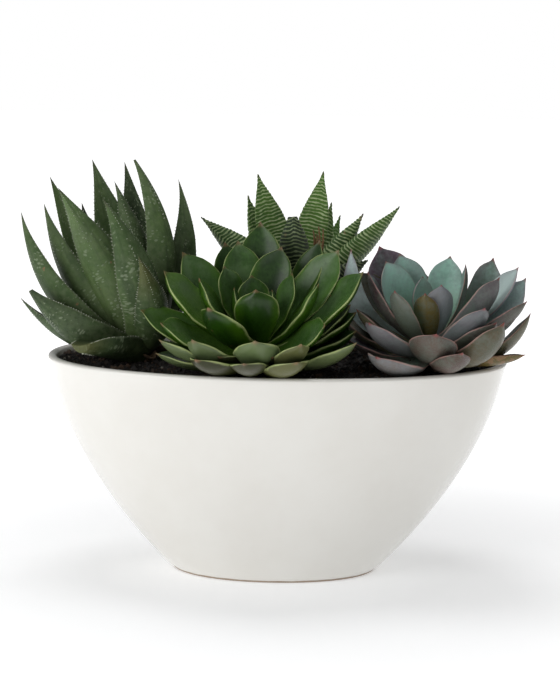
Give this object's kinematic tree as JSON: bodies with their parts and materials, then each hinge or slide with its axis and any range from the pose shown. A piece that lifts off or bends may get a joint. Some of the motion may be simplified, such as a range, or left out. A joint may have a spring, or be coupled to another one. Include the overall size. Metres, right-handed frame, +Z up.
{
  "type": "succulent dish garden",
  "caption": "Oval white glazed bowl filled with dark soil and planted with an aloe, a green and a blue-grey echeveria and a zebra haworthia; stands on its flat foot.",
  "frame": {"origin": "centre of the bowl's flat foot, on the surface that it stands on", "axes": "+Z up; +X to the right along the bowl's length, which is the object's longest extent; +Y to the back, away from the side shown in the picture"},
  "size_m": [0.2814, 0.17, 0.227],
  "materials": {
    "bowl_glaze": "satin",
    "soil": "matte",
    "aloe_leaf": "satin",
    "green_leaf": "gloss",
    "blue_leaf": "matte",
    "zebra_leaf": "satin"
  },
  "bodies": {
    "root": {"bowl": "bowl_glaze", "soil": "soil", "aloe": "aloe_leaf", "green_echeveria": "green_leaf", "blue_echeveria": "blue_leaf", "zebra_haworthia": "zebra_leaf"}
  },
  "joints": []
}
